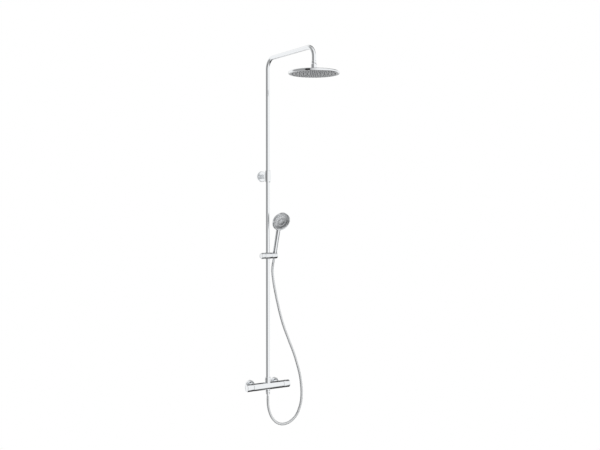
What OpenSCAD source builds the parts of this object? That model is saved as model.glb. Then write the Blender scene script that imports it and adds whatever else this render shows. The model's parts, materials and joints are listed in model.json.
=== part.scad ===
// Rainfall shower column for a bath or shower: thermostatic bar mixer on two wall inlets,
// riser with upper wall bracket, swivelling arm with a rain head, height-adjustable slider
// with a tilting holder, handset and hose.
// +X is to the right along the wall, +Y runs into the wall, +Z is up. The wall face is y = 0.
// The origin lies in the wall face, midway between the two inlets, at the bar's own height.

/* [Column] */
// Distance from the wall face to the axis of the riser and of the bar
wall_gap = 72; // [66:1:80]
// Height of the upper wall bracket above the bar
bracket_z = 1121; // [1050:1:1180]
// Height of the straight arm's centreline above the bar
arm_z = 1745; // [1700:1:1800]
// Reach of the arm from the riser to the head
arm_reach = 465; // [400:1:480]
// Outer diameter of the riser and the arm
pipe_d = 22; // [21:0.5:23]
// Centreline radius of the arm's two bends
bend_r = 55; // [50:1:70]

/* [Mixer bar] */
// Distance between the two water inlets
inlet_spacing = 150; // [146:1:154]
// Diameter of the bar and its handles
bar_d = 40; // [39:0.5:42]
// Length of the fixed middle of the bar
bar_len = 182; // [180:1:186]
// Length of each handle
handle_len = 37; // [34:1:42]
// Diameter of the wall escutcheons
escutcheon_d = 53; // [48:1:60]

/* [Rain head] */
// Diameter of the rain head
head_d = 250; // [240:5:300]
// Thickness of the rain head at its rim
head_t = 14; // [14:1:18]
// Height of the nozzle face above the bar
head_z = 1606; // [1590:1:1612]
// Rings of nozzles around the middle one
nozzle_rings = 6; // [3:1:6]

/* [Slider and handset] */
// Height of the slider above the bar
slider_z = 697; // [600:1:800]
// Diameter of the slider's horizontal cylinder
slider_d = 32; // [32:0.5:34]
// Distance from the riser to the handset socket
socket_x = 40; // [40:0.5:42]
// Forward tilt of the handset's handle
handset_tilt = 17.5; // [10:0.5:20]
// Diameter of the handset's head
handset_d = 102; // [98:1:108]
// Diameter of the handset's handle
grip_d = 24; // [22:0.5:25]
// Diameter of the hose
hose_d = 14; // [13:0.5:15]

/* [Hidden] */
axis_y = -wall_gap;
pipe_r = pipe_d / 2;
pipe_wall = 1;
bar_r = bar_d / 2;
bar_half = bar_len / 2;
inlet_x = inlet_spacing / 2;
run = 0.05;
gap = 0.3;
head_y = axis_y - arm_reach;
head_r = head_d / 2;
slider_r = slider_d / 2;
grip_r = grip_d / 2;
hose_r = hose_d / 2;
FINE = 96;
ROUND = 48;

// Wall inlets, measured from the wall face towards the room
stud_r = 10.45;
stud_len = 22;
union_r = 13;
union_end = 34;
washer_t = 2;
inlet_face = union_end + washer_t;
flange_t = 3;
inlet_bore = 7.3;
hub_len = 27;
valve_len = 22;

// Handles, measured outwards from the end of the bar
handle_gap = 0.5;
stem_r = 5;
stem_len = 20;
hub_r = 7.5;
cavity_r = 16;
cavity_len = 24;
cap_t = 3;
cap_r = 16.5;
button_at = 14;
button_r = 5;
button_travel = 1.5;
pocket_r = 14;
pocket_len = 43;

// Riser foot and hose outlet
boss_top = bar_r + 2;
riser_foot = bar_r + 4;
riser_nut_top = 47;
riser_nut_r = 16;
riser_end = bracket_z - 3;
outlet_nut_top = -bar_r - 4;
outlet_nut_len = 20;
outlet_nut_r = 12.4;
ferrule_end = outlet_nut_top - outlet_nut_len - 12;

// Upper bracket
collar_h = 62;
collar_r = 16.5;
collar_end_r = 14.5;
collar_z0 = bracket_z - collar_h / 2;
rosette_r = 28.5;
rosette_t = 12;
o_ring_r = 1.2;
o_ring_z = [bracket_z + 12, bracket_z + 20];

// Ball joint of the rain head
ball_z = head_z + 42;
ball_r = 10;
nut_r = 15;
nut_low = 9;
nut_high = 9;
neck_r = 6;
leg_end = ball_z + 16;

// Slider: stretches of its cylinder along X, from the riser's axis
knob_x = [-42, -19];
body_x = [-18.7, 22];
holder_x = [22.3, 54];
bush_r = pipe_r + 1.6;
bush_h = 16.3;
pin_r = 6;
pin_len = 4;

// Conical socket and the parts in it, along the handset's own axis
socket_slope = 0.0676;
socket_mid_r = 10.45;
cone_gap = 0.25;
cone_low = -15;
cone_high = 16.2;
swivel_bore = 7.06;
grip_low = 16.5;
ferrule_low = -36;

// Handset head, in the handset's own frame
head_back = [0, 2, 200];
head_pitch = 9.5;
handset_t = 24;
handset_r = handset_d / 2;
face_r = 43;
selector_r = handset_r - 4;
grip_high = 155;

// Hose: centreline from the handset's ferrule to the outlet's ferrule, [x, y, z]
hose_route = [
    [40, -53, 636], [41, -50, 608], [43, -51, 580], [46, -54, 550], [50, -57, 520],
    [55, -60, 490], [60, -63, 460], [66, -66, 430], [72, -69, 400], [80, -73, 365],
    [89, -77, 330], [100, -81, 295], [113, -85, 260], [126, -88, 225], [140, -91, 190],
    [153, -93, 155], [164, -95, 120], [174, -97, 85], [183, -98, 50], [189, -99, 15],
    [193, -100, -25], [194, -100, -65], [190, -99, -105], [180, -97, -140], [164, -95, -172],
    [140, -92, -196], [110, -89, -211], [76, -86, -213], [46, -82, -200], [22, -78, -173],
    [8, -75, -140], [1, -73, -105], [0, -72, -78]
];
hose_sides = 10;
hose_steps = 2;

// ---- shared shapes ----

// Places its children with their own z along the row's +X, at the bar's axis
module along_x(x) {
    translate([x, axis_y, 0]) rotate([0, 90, 0]) children();
}

// Places its children with their own z towards the room, from the wall face
module from_wall(x, z) {
    translate([x, 0, z]) rotate([90, 0, 0]) children();
}

module ring(outer, inner, h) {
    difference() {
        cylinder(r = outer, h = h, $fn = FINE);
        translate([0, 0, -1]) cylinder(r = inner, h = h + 2, $fn = FINE);
    }
}

// Solid cylinder with a chamfer at its far end
module chamfered(r, h, c) {
    cylinder(r = r, h = h - c, $fn = FINE);
    translate([0, 0, h - c]) cylinder(r1 = r, r2 = r - c, h = c, $fn = FINE);
}

module torus(major, minor) {
    rotate_extrude($fn = FINE) translate([major, 0]) circle(r = minor, $fn = ROUND);
}

function unit(v) = v / norm(v);

// Point on the smooth curve through p, between point i and the next, at t from 0 to 1
function spline_at(p, i, t) =
    let (a = p[max(i - 1, 0)], b = p[i], c = p[i + 1], d = p[min(i + 2, len(p) - 1)])
    0.5 * ((2 * b) + (c - a) * t + (2 * a - 5 * b + 4 * c - d) * t * t
        + (3 * b - a - 3 * c + d) * t * t * t);

function smooth_path(p, steps) = [
    for (i = [0 : len(p) - 2]) for (k = [0 : steps - 1]) spline_at(p, i, k / steps),
    p[len(p) - 1]
];

// Tube of radius r along the path p: one ring of sides points at each path point.
// side is a direction that the path never runs along.
module tube_along(p, r, sides, side = [1, 0, 0]) {
    last = len(p) - 1;
    function heading(i) = unit(p[min(i + 1, last)] - p[max(i - 1, 0)]);
    function across(i) = unit(cross(heading(i), side));
    function over(i) = cross(heading(i), across(i));
    points = [
        for (i = [0 : last]) for (k = [0 : sides - 1])
            p[i] + r * (cos(360 * k / sides) * across(i) + sin(360 * k / sides) * over(i))
    ];
    walls = [
        for (i = [0 : last - 1]) for (k = [0 : sides - 1]) each [
            [i * sides + k, (i + 1) * sides + k, i * sides + (k + 1) % sides],
            [i * sides + (k + 1) % sides, (i + 1) * sides + k, (i + 1) * sides + (k + 1) % sides]
        ]
    ];
    near_cap = [for (k = [1 : sides - 2]) [0, k, k + 1]];
    far_cap = [for (k = [1 : sides - 2]) [last * sides, last * sides + k + 1, last * sides + k]];
    polyhedron(points = points, faces = concat(walls, near_cap, far_cap));
}

// ---- mixer bar and wall inlets ----

module mixer_body() {
    color("silver") difference() {
        union() {
            along_x(-bar_half) cylinder(r = bar_r, h = bar_len, $fn = FINE);
            for (s = [-1, 1]) from_wall(s * inlet_x, 0) {
                translate([0, 0, inlet_face]) cylinder(r = 12.8, h = flange_t, $fn = FINE);
                translate([0, 0, inlet_face]) cylinder(r = 10, h = 24, $fn = FINE);
            }
            translate([0, axis_y, 0]) cylinder(r = 14, h = boss_top, $fn = FINE);
            translate([0, axis_y, -bar_r - 2]) cylinder(r = 13, h = 12, $fn = FINE);
        }
        for (s = [-1, 1]) {
            along_x(s > 0 ? bar_half - pocket_len : -bar_half - 1)
                cylinder(r = pocket_r, h = pocket_len + 1, $fn = FINE);
            from_wall(s * inlet_x, 0) translate([0, 0, inlet_face - 1])
                cylinder(r = inlet_bore, h = 30, $fn = FINE);
        }
        along_x(-bar_half + 10) cylinder(r = 8, h = bar_len - 20, $fn = FINE);
        translate([0, axis_y, -bar_r - 3]) cylinder(r = 8.55, h = 2 * bar_r + 6, $fn = FINE);
    }
}

// Union end: stud for the wall fitting, barrel, and the valve's guide hub on three webs
module wall_union(s) {
    color("silver") from_wall(s * inlet_x, 0) {
        difference() {
            union() {
                translate([0, 0, -stud_len]) cylinder(r = stud_r, h = stud_len + 5, $fn = FINE);
                translate([0, 0, 4]) cylinder(r = union_r, h = union_end - 4, $fn = FINE);
            }
            translate([0, 0, -stud_len - 1]) cylinder(r = inlet_bore, h = 90, $fn = FINE);
        }
        translate([0, 0, -stud_len]) {
            cylinder(r = 2, h = hub_len, $fn = ROUND);
            for (a = [0, 120, 240]) rotate([0, 0, a]) translate([0, -0.8, 0])
                cube([inlet_bore + 0.5, 1.6, hub_len]);
        }
    }
}

module wall_union_left() { wall_union(-1); }
module wall_union_right() { wall_union(1); }

module escutcheon(s) {
    r = escutcheon_d / 2;
    color("silver") from_wall(s * inlet_x, 0) difference() {
        union() {
            cylinder(r = r, h = 13, $fn = FINE);
            translate([0, 0, 13]) cylinder(r1 = r, r2 = r - 1.5, h = 2.5, $fn = FINE);
            translate([0, 0, 15.5]) cylinder(r1 = r - 1.5, r2 = r - 5, h = 2.5, $fn = FINE);
        }
        translate([0, 0, -1]) cylinder(r = union_r + 0.2, h = 30, $fn = FINE);
        translate([0, 0, -1]) cylinder(r = r - 2, h = 15, $fn = FINE);
    }
}

module escutcheon_left() { escutcheon(-1); }
module escutcheon_right() { escutcheon(1); }

module inlet_nut(s) {
    nut_from = union_end - 8;
    color("silver") from_wall(s * inlet_x, 0) difference() {
        translate([0, 0, nut_from]) intersection() {
            cylinder(r = 17.6, h = 16, $fn = 6);
            chamfered(17.2, 16, 1.2);
        }
        translate([0, 0, nut_from - 1]) cylinder(r = union_r + 0.1, h = 14.2, $fn = FINE);
        translate([0, 0, nut_from]) cylinder(r = 10.2, h = 30, $fn = FINE);
    }
}

module inlet_nut_left() { inlet_nut(-1); }
module inlet_nut_right() { inlet_nut(1); }

module inlet_washers() {
    color("dimgray") for (s = [-1, 1])
        from_wall(s * inlet_x, 0) translate([0, 0, union_end]) ring(12.6, 8.4, washer_t);
}

// Check valve in each union's barrel: pierced ends, and the poppet on its stem between them
module check_valves() {
    color("white") for (s = [-1, 1]) from_wall(s * inlet_x, 0) translate([0, 0, 7]) {
        difference() {
            cylinder(r = inlet_bore - 0.1, h = valve_len, $fn = FINE);
            translate([0, 0, 2]) cylinder(r = inlet_bore - 1.3, h = valve_len - 4, $fn = FINE);
            for (a = [0 : 60 : 300]) rotate([0, 0, a]) translate([4.3, 0, -1])
                cylinder(r = 1.2, h = valve_len + 2, $fn = ROUND);
        }
        translate([0, 0, 1]) cylinder(r = 1.5, h = valve_len - 2, $fn = ROUND);
        translate([0, 0, valve_len / 2]) cylinder(r = 4.6, h = 4, $fn = ROUND);
    }
}

// Cartridge of one end: sealed body in the bar's pocket and the stem that the handle turns
module cartridge(s) {
    translate([0, axis_y, 0]) rotate([0, s * 90, 0]) {
        translate([0, 0, bar_half - pocket_len + 1])
            cylinder(r = pocket_r - 0.1, h = pocket_len - 1, $fn = FINE);
        translate([0, 0, bar_half]) cylinder(r = stem_r, h = stem_len, $fn = ROUND);
    }
}

module flow_cartridge() { color("gainsboro") cartridge(-1); }
module thermostat_cartridge() { color("goldenrod") cartridge(1); }

// Ring that limits the handle's turn, with one stop lug
module stop_ring(s) {
    translate([0, axis_y, 0]) rotate([0, s * 90, 0]) translate([0, 0, bar_half]) {
        ring(12.5, 8.5, 6);
        translate([-2, 12, 0]) cube([4, 2.5, 6]);
    }
}

module flow_stop_ring() { color("white") stop_ring(-1); }
module temperature_stop_ring() { color("white") stop_ring(1); }

// Handle shell: cup around the stem's hub, with a recess for the cap and a hole for the button
module handle(s) {
    translate([0, axis_y, 0]) rotate([0, s * 90, 0])
        translate([0, 0, bar_half + handle_gap]) difference() {
            chamfered(bar_r, handle_len, 1.2);
            difference() {
                translate([0, 0, -1]) cylinder(r = cavity_r, h = cavity_len + 1, $fn = FINE);
                translate([0, 0, -2]) cylinder(r = hub_r, h = cavity_len + 3, $fn = FINE);
            }
            translate([0, 0, -1]) cylinder(r = stem_r + run, h = stem_len + 1, $fn = ROUND);
            cylinder(r = 2.3, h = handle_len + 1, $fn = ROUND);
            translate([0, 0, handle_len - cap_t]) cylinder(r = cap_r, h = cap_t + 1, $fn = FINE);
            translate([0, 0, handle_len - cap_t - 4]) cylinder(r = 5, h = 5, $fn = ROUND);
            translate([0, 0, button_at]) rotate([0, -s * 90, 0]) translate([0, 0, 12])
                cylinder(r = button_r + run, h = 12, $fn = ROUND);
        }
}

module flow_handle() { color("silver") handle(-1); }
module temperature_handle() { color("silver") handle(1); }

// Push button in the top of a handle, with the flange that keeps it in
module button(s) {
    x = s * (bar_half + handle_gap + button_at);
    translate([x, axis_y, 0]) {
        translate([0, 0, 12.4]) cylinder(r = button_r + 1, h = 2.2, $fn = ROUND);
        translate([0, 0, 14.4]) chamfered(button_r, bar_r - 13.6, 0.6);
    }
}

module eco_button() { color("silver") button(-1); }
module stop_button() { color("crimson") button(1); }

// Coil spring between the hub and the button's flange
module button_spring(s) {
    x = s * (bar_half + handle_gap + button_at);
    turns = 4;
    low = hub_r + 0.5;
    high = 12;
    coil = [
        for (i = [0 : turns * 10])
            [3 * cos(36 * i), 3 * sin(36 * i), low + (high - low) * i / (turns * 10)]
    ];
    translate([x, axis_y, 0]) tube_along(coil, 0.35, 8, [0, 0, 1]);
}

module eco_button_spring() { color("gray") button_spring(-1); }
module stop_button_spring() { color("gray") button_spring(1); }

module handle_cap(s) {
    translate([0, axis_y, 0]) rotate([0, s * 90, 0])
        translate([0, 0, bar_half + handle_gap + handle_len - cap_t])
            chamfered(cap_r - 0.1, cap_t, 0.4);
}

module flow_handle_cap() { color("silver") handle_cap(-1); }
module temperature_handle_cap() { color("silver") handle_cap(1); }

module handle_screw(s) {
    translate([0, axis_y, 0]) rotate([0, s * 90, 0])
        translate([0, 0, bar_half + handle_gap + handle_len - cap_t - 4]) {
            translate([0, 0, 0.5]) difference() {
                cylinder(r = 4, h = 2.8, $fn = ROUND);
                translate([0, 0, 1.2]) cylinder(r = 1.7, h = 3, $fn = 6);
            }
            translate([0, 0, -9]) cylinder(r = 2.2, h = 9.5, $fn = ROUND);
        }
}

module flow_handle_screw() { color("gray") handle_screw(-1); }
module temperature_handle_screw() { color("gray") handle_screw(1); }

// ---- riser ----

module riser_nipple() {
    color("goldenrod") translate([0, axis_y, bar_r - 6]) ring(8.5, 6, 30);
}

module riser_nut() {
    color("silver") translate([0, axis_y, boss_top]) difference() {
        chamfered(riser_nut_r, riser_nut_top - boss_top, 1.5);
        translate([0, 0, -1]) cylinder(r = pipe_r + 0.1, h = 60, $fn = FINE);
        translate([0, 0, 10]) cylinder(r = pipe_r + 2.3, h = 2.6, $fn = FINE);
    }
}

module riser_o_ring() {
    color("black") translate([0, axis_y, boss_top + 11.3]) torus(pipe_r + 1.15, 1.1);
}

module riser_tube() {
    color("silver") translate([0, axis_y, riser_foot])
        ring(pipe_r, pipe_r - pipe_wall, riser_end - riser_foot);
}

// ---- upper wall bracket ----

// Barrel-shaped collar round the pipes, with the stem that reaches to the wall base
module wall_bracket() {
    color("silver") difference() {
        union() {
            translate([0, axis_y, collar_z0]) {
                cylinder(r1 = collar_end_r, r2 = collar_r, h = 14, $fn = FINE);
                translate([0, 0, 14]) cylinder(r = collar_r, h = collar_h - 28, $fn = FINE);
                translate([0, 0, collar_h - 14])
                    cylinder(r1 = collar_r, r2 = collar_end_r, h = 14, $fn = FINE);
            }
            from_wall(0, bracket_z) translate([0, 0, rosette_t + 1])
                cylinder(r = 10, h = wall_gap - rosette_t - 1, $fn = FINE);
        }
        translate([0, axis_y, collar_z0 - 1]) cylinder(r = pipe_r + run, h = 90, $fn = FINE);
        for (z = o_ring_z) translate([0, axis_y, z - 1.4])
            cylinder(r = pipe_r + 2.5, h = 2.8, $fn = FINE);
        from_wall(0, bracket_z) cylinder(r = 7.1, h = 40, $fn = ROUND);
        translate([0, -26, bracket_z - 12]) cylinder(r = 2.05, h = 8, $fn = ROUND);
    }
}

module bracket_base() {
    color("gray") from_wall(0, bracket_z) difference() {
        union() {
            cylinder(r = 22, h = 4, $fn = FINE);
            cylinder(r = 7, h = 38, $fn = ROUND);
        }
        translate([0, 0, -1]) cylinder(r = 4.2, h = 50, $fn = ROUND);
        translate([0, 0, 8]) cylinder(r = 5.6, h = 50, $fn = ROUND);
    }
}

module bracket_rosette() {
    color("silver") from_wall(0, bracket_z) difference() {
        union() {
            cylinder(r = rosette_r, h = rosette_t - 3, $fn = FINE);
            translate([0, 0, rosette_t - 3])
                cylinder(r1 = rosette_r, r2 = rosette_r - 3, h = 3, $fn = FINE);
        }
        translate([0, 0, -1]) cylinder(r = rosette_r - 2, h = rosette_t - 2, $fn = FINE);
        cylinder(r = 10.2, h = 40, $fn = FINE);
    }
}

module bracket_wall_screw() {
    color("gray") from_wall(0, bracket_z) {
        translate([0, 0, 8]) difference() {
            cylinder(r = 5.4, h = 3, $fn = ROUND);
            translate([0, 0, 1.5]) cylinder(r = 1.8, h = 3, $fn = 6);
        }
        translate([0, 0, -34]) cylinder(r = 2.4, h = 42, $fn = ROUND);
    }
}

module bracket_wall_plug() {
    color("lightgray") from_wall(0, bracket_z) translate([0, 0, -40.2]) difference() {
        cylinder(r = 4, h = 40, $fn = ROUND);
        translate([0, 0, 5]) cylinder(r = 2.45, h = 40, $fn = ROUND);
    }
}

module bracket_grub_screw() {
    color("dimgray") translate([0, -26, bracket_z - 11.5]) difference() {
        cylinder(r = 2, h = 4.4, $fn = ROUND);
        translate([0, 0, -1]) cylinder(r = 1.1, h = 3, $fn = 6);
    }
}

module collar_o_rings() {
    color("black") for (z = o_ring_z)
        translate([0, axis_y, z]) torus(pipe_r + run + o_ring_r, o_ring_r);
}

// ---- arm and rain head ----

// Solid shape of the bent pipe at radius r: riser leg, bend, straight, bend, head leg
module arm_shape(r) {
    straight = arm_reach - 2 * bend_r;
    translate([0, axis_y, riser_end + 3 - (pipe_r - r)])
        cylinder(r = r, h = arm_z - bend_r - riser_end - 3 + (pipe_r - r), $fn = FINE);
    translate([0, axis_y - bend_r, arm_z - bend_r]) rotate([0, -90, 0]) rotate([0, 0, 0])
        rotate_extrude(angle = 90, $fn = FINE) translate([bend_r, 0]) circle(r = r, $fn = ROUND);
    translate([0, axis_y - bend_r, arm_z]) rotate([90, 0, 0])
        cylinder(r = r, h = straight, $fn = FINE);
    translate([0, head_y + bend_r, arm_z - bend_r]) rotate([0, -90, 0]) rotate([0, 0, -90])
        rotate_extrude(angle = 90, $fn = FINE) translate([bend_r, 0]) circle(r = r, $fn = ROUND);
    translate([0, head_y, leg_end - (pipe_r - r)])
        cylinder(r = r, h = arm_z - bend_r - leg_end + (pipe_r - r), $fn = FINE);
}

module shower_arm() {
    color("silver") difference() {
        arm_shape(pipe_r);
        arm_shape(pipe_r - pipe_wall);
    }
}

// Threaded sleeve on the head leg, with the neck and ball that the head tilts on
module ball_nipple() {
    color("silver") translate([0, head_y, ball_z]) difference() {
        union() {
            sphere(r = ball_r, $fn = FINE);
            cylinder(r = neck_r, h = 16, $fn = FINE);
            translate([0, 0, 12]) cylinder(r1 = 6.5, r2 = 12.5, h = 3, $fn = FINE);
            translate([0, 0, 15]) ring(12.5, pipe_r + 0.1, 9);
            translate([0, 0, 15]) cylinder(r = 12.5, h = 0.9, $fn = FINE);
        }
        translate([0, 0, -20]) cylinder(r = 4, h = 50, $fn = ROUND);
    }
}

module ball_seat_ring() {
    color("white") translate([0, head_y, ball_z]) difference() {
        sphere(r = 12.8, $fn = FINE);
        sphere(r = ball_r + 0.3, $fn = FINE);
        translate([-20, -20, -4.5]) cube([40, 40, 40]);
        translate([-20, -20, -47]) cube([40, 40, 40]);
    }
}

// Nut that holds the ball in the head's collar
module ball_nut() {
    color("silver") translate([0, head_y, ball_z]) difference() {
        translate([0, 0, -nut_low]) chamfered(nut_r, nut_low + nut_high, 1.5);
        sphere(r = ball_r + 0.35, $fn = FINE);
        translate([0, 0, -nut_low - 1]) cylinder(r = 13.2, h = nut_low + 1, $fn = FINE);
        cylinder(r = 9.2, h = 20, $fn = FINE);
    }
}

// Domed upper shell of the rain head with its bell-shaped neck
module rain_head_shell() {
    bell = ball_z - nut_low - head_z;
    edge = 4;
    inner_r = head_r - 2.5;
    color("silver") translate([0, head_y, head_z]) difference() {
        union() {
            translate([0, 0, 1]) cylinder(r1 = head_r - 2, r2 = head_r, h = edge, $fn = FINE);
            translate([0, 0, 1 + edge])
                cylinder(r = head_r, h = head_t - 2 * edge - 1, $fn = FINE);
            translate([0, 0, head_t - edge])
                cylinder(r1 = head_r, r2 = head_r - edge, h = edge, $fn = FINE);
            translate([0, 0, head_t]) cylinder(r1 = head_r - edge, r2 = 24, h = 7, $fn = FINE);
            translate([0, 0, head_t + 7]) cylinder(r1 = 23, r2 = nut_r, h = bell - head_t - 7, $fn = FINE);
        }
        cylinder(r = inner_r, h = head_t - 6, $fn = FINE);
        translate([0, 0, head_t - 6.01]) cylinder(r1 = inner_r, r2 = 20, h = 7, $fn = FINE);
        translate([0, 0, head_t]) cylinder(r = 10, h = 40, $fn = FINE);
        translate([0, 0, bell - 4]) cylinder(r = 13.2, h = 10, $fn = FINE);
    }
}

// Places of the nozzles: one in the middle, then rings of six more each
function nozzle_places(rings, pitch) = concat(
    [[0, 0]],
    [for (k = [1 : rings]) for (i = [0 : 6 * k - 1])
        let (a = 360 * (i + (k % 2) / 2) / (6 * k)) pitch * k * [cos(a), sin(a)]]
);
rain_pitch = (head_r - 19) / 6;

module rain_face_plate() {
    color("darkgray") translate([0, head_y, head_z]) difference() {
        cylinder(r = head_r - 2.8, h = 3, $fn = FINE);
        for (p = nozzle_places(nozzle_rings, rain_pitch))
            translate([p[0], p[1], -1]) cylinder(r = 1.7, h = 5, $fn = 16);
    }
}

module rain_nozzles() {
    color("dimgray") translate([0, head_y, head_z])
        for (p = nozzle_places(nozzle_rings, rain_pitch))
            translate([p[0], p[1], -1.5]) cylinder(r1 = 1.1, r2 = 1.6, h = 4.5, $fn = 16);
}

module rain_head_screws() {
    color("gray") translate([0, head_y, head_z + 3.1])
        for (i = [0 : 5]) rotate([0, 0, 60 * i + 5]) translate([head_r - 14, 0, 0])
            cylinder(r = 2, h = 5, $fn = ROUND);
}

module flow_limiter() {
    color("royalblue") translate([0, head_y, head_z + head_t + 2]) ring(9.9, 2, 4);
}

// ---- slider and handset holder ----

// Places its children with their own z along +X, at the slider's axis
module slider_axis(x) {
    translate([x, axis_y, slider_z]) rotate([0, 90, 0]) children();
}

module slider_bush() {
    color("gainsboro") translate([0, axis_y, slider_z]) difference() {
        union() {
            translate([0, 0, -bush_h]) cylinder(r = bush_r, h = 2 * bush_h, $fn = FINE);
            for (z = [-bush_h - 1, bush_h]) translate([0, 0, z])
                cylinder(r = bush_r + 0.8, h = 1, $fn = FINE);
        }
        translate([0, 0, -30]) cylinder(r = pipe_r + run, h = 60, $fn = FINE);
    }
}

module slider_body() {
    color("silver") difference() {
        union() {
            slider_axis(body_x[0]) cylinder(r = slider_r, h = body_x[1] - body_x[0], $fn = FINE);
            slider_axis(body_x[1]) cylinder(r = pin_r, h = pin_len, $fn = ROUND);
        }
        translate([0, axis_y, slider_z - 30]) cylinder(r = bush_r + run, h = 60, $fn = FINE);
        slider_axis(-30) cylinder(r = 4 + run, h = 30, $fn = ROUND);
        slider_axis(body_x[1] - 0.8) ring(14.1, pin_r + 0.4, 2);
    }
}

module lock_knob() {
    len = knob_x[1] - knob_x[0];
    color("silver") {
        slider_axis(knob_x[1]) rotate([0, 180, 0]) chamfered(slider_r, len, 1.2);
        slider_axis(knob_x[1] - 1) cylinder(r = 4, h = 4.2, $fn = ROUND);
    }
}

module brake_shoe() {
    color("dimgray") slider_axis(-15.5) cylinder(r = 3.9, h = 1.4, $fn = ROUND);
}

module tilt_washer() {
    color("white") slider_axis(body_x[1] - 0.7) ring(14, pin_r + 0.5, 0.7);
}

// Places its children in the handset's own frame: z up along the handle
module handset_frame() {
    translate([socket_x, axis_y, slider_z]) rotate([handset_tilt, 0, 0]) children();
}

function socket_r(z) = socket_mid_r + socket_slope * z;

module handset_holder() {
    color("silver") difference() {
        slider_axis(holder_x[0]) chamfered(slider_r, holder_x[1] - holder_x[0], 1.2);
        slider_axis(holder_x[0] - 1) cylinder(r = pin_r + run, h = pin_len + 1.2, $fn = ROUND);
        handset_frame() translate([0, 0, -20])
            cylinder(r1 = socket_r(-20), r2 = socket_r(20), h = 40, $fn = FINE);
    }
}

// Places its children on the handset head's axis, z pointing out of the spray face
module head_frame() {
    handset_frame() translate(head_back) rotate([90 + head_pitch, 0, 0]) children();
}

// Grip and head shell in one, hollow for the water and for the spray parts
module handset_body() {
    color("silver") difference() {
        union() {
            handset_frame() {
                translate([0, 0, grip_low]) cylinder(r1 = 11.4, r2 = grip_r, h = 6, $fn = FINE);
                translate([0, 0, grip_low + 6])
                    cylinder(r = grip_r, h = grip_high - grip_low - 6, $fn = FINE);
            }
            head_frame() {
                translate([0, 0, 2]) cylinder(r1 = 34, r2 = 46, h = 5, $fn = FINE);
                translate([0, 0, 7]) cylinder(r1 = 46, r2 = handset_r, h = 6, $fn = FINE);
                translate([0, 0, 13]) cylinder(r = handset_r, h = 6, $fn = FINE);
                translate([0, 0, 19])
                    cylinder(r1 = handset_r, r2 = handset_r - 2, h = 3, $fn = FINE);
            }
        }
        handset_frame() {
            translate([0, 0, grip_low - 1]) cylinder(r = 8, h = 30, $fn = FINE);
            translate([0, 0, grip_low]) cylinder(r = 5, h = grip_high - grip_low - 6, $fn = ROUND);
        }
        head_frame() translate([0, 0, 12]) cylinder(r = selector_r + gap, h = 30, $fn = FINE);
    }
}

// Ring round the spray face, with the lever that turns it
module selector_ring() {
    color("silver") head_frame() {
        translate([0, 0, 14]) ring(selector_r, face_r + gap, handset_t - 14);
        rotate([0, 0, 180]) translate([selector_r - 2, -5, handset_t - 1.7]) cube([9, 10, 2.4]);
    }
}

module handset_face() {
    color("gray") head_frame() translate([0, 0, 12.3]) difference() {
        cylinder(r = face_r, h = handset_t - 13, $fn = FINE);
        for (p = nozzle_places(4, 9)) translate([p[0], p[1], handset_t - 16])
            cylinder(r = 1.5, h = 10, $fn = 16);
    }
}

module handset_nozzles() {
    color("dimgray") head_frame() for (p = nozzle_places(4, 9))
        translate([p[0], p[1], handset_t - 3.6]) cylinder(r1 = 1.4, r2 = 1, h = 4.2, $fn = 16);
}

module handset_inlet() {
    color("goldenrod") handset_frame() {
        translate([0, 0, 2]) ring(swivel_bore - 0.06, 4.5, 26);
        translate([0, 0, grip_low + 0.5]) ring(7.9, 4.5, 11);
    }
}

// ---- hose ----

module hose_cone_nut() {
    color("silver") handset_frame() difference() {
        translate([0, 0, cone_low]) cylinder(
            r1 = socket_r(cone_low) - cone_gap,
            r2 = socket_r(cone_high) - cone_gap,
            h = cone_high - cone_low, $fn = FINE);
        translate([0, 0, -30]) cylinder(r = swivel_bore, h = 60, $fn = FINE);
    }
}

module hose_top_ferrule() {
    color("silver") handset_frame() translate([0, 0, ferrule_low])
        cylinder(r = hose_r, h = 1.5 - ferrule_low, $fn = ROUND);
}

module outlet_nipple() {
    color("goldenrod") translate([0, axis_y, -bar_r - 14]) ring(8.5, 6, 20);
}

module hose_outlet_nut() {
    color("silver") translate([0, axis_y, outlet_nut_top - outlet_nut_len]) difference() {
        cylinder(r1 = outlet_nut_r - 1.5, r2 = outlet_nut_r, h = outlet_nut_len, $fn = FINE);
        translate([0, 0, -1]) cylinder(r = hose_r + 0.1, h = 60, $fn = FINE);
        translate([0, 0, 9]) cylinder(r = 8.6, h = 60, $fn = FINE);
    }
}

module hose_outlet_ferrule() {
    color("silver") translate([0, axis_y, ferrule_end])
        cylinder(r = hose_r, h = -bar_r - 14.5 - ferrule_end, $fn = ROUND);
}

module hose() {
    top = [
        socket_x,
        axis_y - (ferrule_low - 0.3) * sin(handset_tilt),
        slider_z + (ferrule_low - 0.3) * cos(handset_tilt)
    ];
    foot = [0, axis_y, ferrule_end - 0.3];
    color("darkgray")
        tube_along(smooth_path(concat([top], hose_route, [foot]), hose_steps), hose_r, hose_sides);
}

mixer_body();
wall_union_left();
wall_union_right();
escutcheon_left();
escutcheon_right();
inlet_nut_left();
inlet_nut_right();
inlet_washers();
check_valves();
flow_cartridge();
thermostat_cartridge();
flow_stop_ring();
temperature_stop_ring();
flow_handle();
temperature_handle();
eco_button();
stop_button();
eco_button_spring();
stop_button_spring();
flow_handle_cap();
temperature_handle_cap();
flow_handle_screw();
temperature_handle_screw();
riser_nipple();
riser_nut();
riser_o_ring();
riser_tube();
wall_bracket();
bracket_base();
bracket_rosette();
bracket_wall_screw();
bracket_wall_plug();
bracket_grub_screw();
collar_o_rings();
shower_arm();
ball_nipple();
ball_seat_ring();
ball_nut();
rain_head_shell();
rain_face_plate();
rain_nozzles();
rain_head_screws();
flow_limiter();
slider_bush();
slider_body();
lock_knob();
brake_shoe();
tilt_washer();
handset_holder();
handset_body();
handset_face();
selector_ring();
handset_nozzles();
handset_inlet();
hose_cone_nut();
hose_top_ferrule();
hose();
hose_outlet_nut();
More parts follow.
